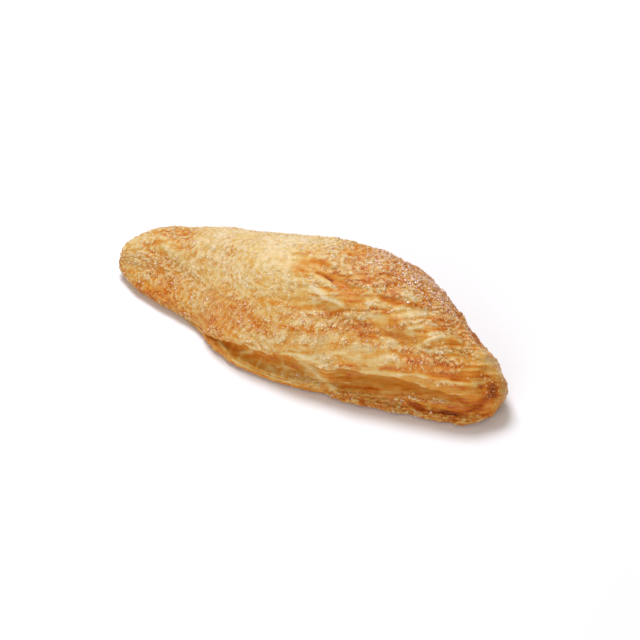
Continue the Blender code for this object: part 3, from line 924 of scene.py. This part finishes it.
def baked_material(name):
    """Baked puff pastry: coloured by its browning, streaked along its rows, and grainy where sugared."""
    material = bpy.data.materials.new(name)
    nodes, links, shader = nodes_of(material)
    place = nodes.new("ShaderNodeTexCoord").outputs["Object"]
    sugar = attribute_value(nodes, "sugar")
    specks = value_noise(nodes, links, place, SPECKS)
    clouds = value_noise(nodes, links, place, CLOUDS)
    streaks = row_streaks(nodes, links)
    speckled = mathed(nodes, links, "MULTIPLY_ADD", sugar, SPECK_SUGARED, SPECK_CHANGE)
    streaked = mathed(nodes, links, "MULTIPLY_ADD", sugar, STREAK_SUGARED, STREAK_CHANGE)
    tone = varied(nodes, links, attribute_value(nodes, "brown"), streaks, streaked)
    tone = varied(nodes, links, tone, clouds, CLOUD_CHANGE)
    tone = varied(nodes, links, tone, specks, speckled)

    sugared = nodes.new("ShaderNodeMix")
    sugared.data_type = "RGBA"
    share = mathed(nodes, links, "MULTIPLY", attribute_value(nodes, "grain"), SUGAR_SHARE)
    links.new(share, sugared.inputs["Factor"])
    links.new(colour_ramp(nodes, links, tone, PALETTE), sugared.inputs["A"])
    sugared.inputs["B"].default_value = linear(SUGAR_TINT)
    links.new(sugared.outputs["Result"], shader.inputs["Base Color"])

    grains = mathed(nodes, links, "MULTIPLY", specks, speckled)
    height = mathed(nodes, links, "MULTIPLY_ADD", streaks, STREAK_HEIGHT, grains)
    bump = nodes.new("ShaderNodeBump")
    bump.inputs["Strength"].default_value = BUMP_STRENGTH
    bump.inputs["Distance"].default_value = BUMP_HEIGHT * MM
    links.new(height, bump.inputs["Height"])
    links.new(bump.outputs["Normal"], shader.inputs["Normal"])
    return material, shader


def crust_material():
    """The crust: light goes a little way into it, and it shines only dully."""
    material, shader = baked_material("baked_crust_look")
    shader.inputs["Roughness"].default_value = 0.38
    shader.inputs["Specular IOR Level"].default_value = 0.15
    shader.inputs["Subsurface Weight"].default_value = 0.4
    shader.inputs["Subsurface Radius"].default_value = LIGHT_RADIUS
    shader.inputs["Subsurface Scale"].default_value = LIGHT_DEPTH * MM
    return material


def baked_sugar_material():
    """Sugar that has browned with the crust, glossier than it."""
    material, shader = baked_material("baked_sugar_look")
    shader.inputs["Roughness"].default_value = 0.30
    shader.inputs["Specular IOR Level"].default_value = 0.50
    return material


def clear_sugar_material():
    """Sugar that has kept its shine, barely tinted."""
    material = bpy.data.materials.new("clear_sugar_look")
    nodes, links, shader = nodes_of(material)
    place = nodes.new("ShaderNodeTexCoord").outputs["Object"]
    tint = value_noise(nodes, links, place, SUGAR_TINTS, 1.0)
    links.new(colour_ramp(nodes, links, tint, CLEAR_SUGAR), shader.inputs["Base Color"])
    shader.inputs["Roughness"].default_value = 0.25
    return material


def scatter(crust, density, brown, count, seed):
    """Points drawn by area times density: their places, normals and browning, and the draw itself."""
    mesh = crust.data
    mesh.calc_loop_triangles()
    triangles = np.empty(len(mesh.loop_triangles) * 3, np.int32)
    mesh.loop_triangles.foreach_get("vertices", triangles)
    triangles = triangles.reshape(-1, 3)
    points = vectors(mesh.vertices, "co") / MM
    a, b, c = (points[triangles[:, k]] for k in range(3))
    crossed = np.cross(b - a, c - a)
    doubled = np.linalg.norm(crossed, axis=1)
    weight = doubled * density[triangles].mean(1)
    draw = np.random.default_rng(seed)
    chosen = draw.choice(len(triangles), size=count, p=weight / weight.sum())
    u, v = draw.random(count), draw.random(count)
    flip = u + v > 1
    u[flip], v[flip] = 1 - u[flip], 1 - v[flip]
    spots = a[chosen] + u[:, None] * (b - a)[chosen] + v[:, None] * (c - a)[chosen]
    return spots, crossed[chosen] / doubled[chosen][:, None], brown[triangles[chosen, 0]], draw


def unit_block():
    """A cube's corners and faces."""
    corners = np.array([(x, y, z) for x in (-1, 1) for y in (-1, 1) for z in (-1, 1)], float)
    faces = [(0, 1, 3, 2), (4, 6, 7, 5), (0, 4, 5, 1), (2, 3, 7, 6), (0, 2, 6, 4), (1, 5, 7, 3)]
    return corners * BLOCK_HALF, faces


def unit_gem():
    """An octahedron's corners and faces."""
    corners = np.array([(1, 0, 0), (-1, 0, 0), (0, 1, 0), (0, -1, 0), (0, 0, 1), (0, 0, -1)], float)
    upper = [(0, 2, 4), (2, 1, 4), (1, 3, 4), (3, 0, 4)]
    return corners, upper + [(b, a, 5) for a, b, _ in upper]


def unit_pebble():
    """An icosahedron's corners and faces."""
    ball = bmesh.new()
    bmesh.ops.create_icosphere(ball, subdivisions=1, radius=1.0)
    corners = np.array([v.co[:] for v in ball.verts])
    faces = [tuple(v.index for v in f.verts) for f in ball.faces]
    ball.free()
    return corners, faces


def unit(rows):
    """Each row's direction, with a length of 1."""
    return rows / np.linalg.norm(rows, axis=1)[:, None]


def make_grains(name, shape, crust, density, brown, material, seed):
    """One kind of sugar as one mesh of small uneven bodies, sunk into the crust."""
    count, sizes, flatness, sunk, tumble = GRAINS[name]
    corners, shape_faces = shape
    spots, normals, local, draw = scatter(crust, density, brown, count, seed)
    upright = unit(normals + tumble * draw.normal(size=(count, 3)))
    side = unit(np.cross(upright, draw.normal(size=(count, 3))))
    axes = np.stack((side, np.cross(upright, side), upright), axis=2)
    half = 0.5 * draw.uniform(*sizes, size=(count, 1, 1)) * draw.uniform(*GRAIN_UNEVEN, size=(count, 1, 3))
    half[:, :, 2] *= flatness
    placed = corners[None] * half * draw.uniform(*CORNER_UNEVEN, size=(count, len(corners), 1))
    turned = np.einsum("nij,nkj->nki", axes, placed)
    rise = np.minimum(half[:, 0, 2] * (1 - 2 * sunk), room(spots, normals) - half.max(2)[:, 0])
    centres = spots + normals * rise[:, None]
    verts = (turned + centres[:, None, :]).reshape(-1, 3)
    verts[:, 2] = np.maximum(verts[:, 2], GRAIN_LOWEST)
    steps = len(corners) * np.arange(count)
    faces = (np.array(shape_faces)[None] + steps[:, None, None]).reshape(-1, len(shape_faces[0]))
    mesh = bpy.data.meshes.new(name)
    mesh.from_pydata((verts * MM).tolist(), [], faces.tolist())

    tone = np.minimum(local, GRAIN_BROWNEST) + draw.normal(-GRAIN_PALER, GRAIN_SPREAD, size=count)
    paleness = draw.uniform(*GRAIN_PALENESS, size=count)
    paleness *= faded("grain near the table", 1 - smooth(spots[:, 2], *ZONES["off the table"][1:]))
    paleness *= faded("pale grains where browned", smooth(local, *PALENESS_ENDS))
    store(mesh, "brown", np.repeat(tone, len(corners)))
    store(mesh, "grain", np.repeat(paleness, len(corners)))
    mesh.materials.append(material)
    if tumble < 1:
        mesh.shade_smooth()
    piece = add_piece(name, mesh)
    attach(piece, "root")


def make_table():
    """A plain white table top."""
    mesh = bpy.data.meshes.new("table")
    corners = [(x, y, 0) for x in (-TABLE_HALF, TABLE_HALF) for y in (-TABLE_HALF, TABLE_HALF)]
    mesh.from_pydata(corners, [], [(0, 2, 3, 1)])
    white = bpy.data.materials.new("table_white")
    _, _, shader = nodes_of(white)
    shader.inputs["Base Color"].default_value = (TABLE_WHITE, TABLE_WHITE, TABLE_WHITE, 1)
    shader.inputs["Roughness"].default_value = 0.8
    mesh.materials.append(white)
    table = add_piece("table", mesh)


def make_light():
    """Soft daylight from above and behind, a weaker light from the front, and a sky brighter overhead."""
    world = bpy.data.worlds.new("daylight")
    world.use_nodes = True
    nodes, links = world.node_tree.nodes, world.node_tree.links
    sky = nodes["Background"].inputs
    sky["Color"].default_value = SKY_COLOUR
    way = nodes.new("ShaderNodeSeparateXYZ")
    links.new(nodes.new("ShaderNodeTexCoord").outputs["Generated"], way.inputs["Vector"])
    overhead = mathed(nodes, links, "MAXIMUM", way.outputs["Z"], 0)
    links.new(mathed(nodes, links, "MULTIPLY_ADD", overhead, SKY_OVERHEAD, SKY_STRENGTH), sky["Strength"])
    bpy.context.scene.world = world

    for name, (place, size, energy) in LAMPS.items():
        light = bpy.data.lights.new(name, "AREA")
        light.shape = "DISK"
        light.size = size
        light.energy = energy
        light.color = LAMP_COLOUR
        lamp = add_piece(name, light)
        lamp.location = place
        lamp.rotation_mode = "QUATERNION"
        lamp.rotation_quaternion = (-Vector(place)).to_track_quat("-Z", "Y")


def make_camera():
    """A long lens, looking down on the open side from a third of the way round to the narrow end."""
    round_z, up = math.radians(AZIMUTH), math.radians(ELEVATION)
    back = Vector((math.sin(round_z) * math.cos(up), -math.cos(round_z) * math.cos(up), math.sin(up)))
    data = bpy.data.cameras.new("camera")
    data.sensor_width = SENSOR
    data.lens = LENS
    data.clip_start, data.clip_end = NEAREST * MM, FURTHEST * MM
    camera = add_piece("camera", data)
    camera.location = (Vector(AIM) + DISTANCE * back) * MM
    camera.rotation_mode = "QUATERNION"
    camera.rotation_quaternion = (-back).to_track_quat("-Z", "Y")
    bpy.context.scene.camera = camera


def main():
    bpy.context.scene.view_settings.view_transform = "Standard"
    make_camera()
    make_table()
    make_light()
    crust, baked = make_crust()
    gathered, browned = baked.sugar**GATHERING, baked_sugar_material()
    kinds = (
        ("sugar_coarse", unit_pebble(), gathered, browned),
        ("sugar_fine", unit_gem(), gathered, browned),
        ("sugar_clear", unit_block(), baked.clear_sugar(), clear_sugar_material()),
    )
    for seed, (name, shape, density, material) in enumerate(kinds, 1):
        make_grains(name, shape, crust, density, baked.brown, material, seed)


main()
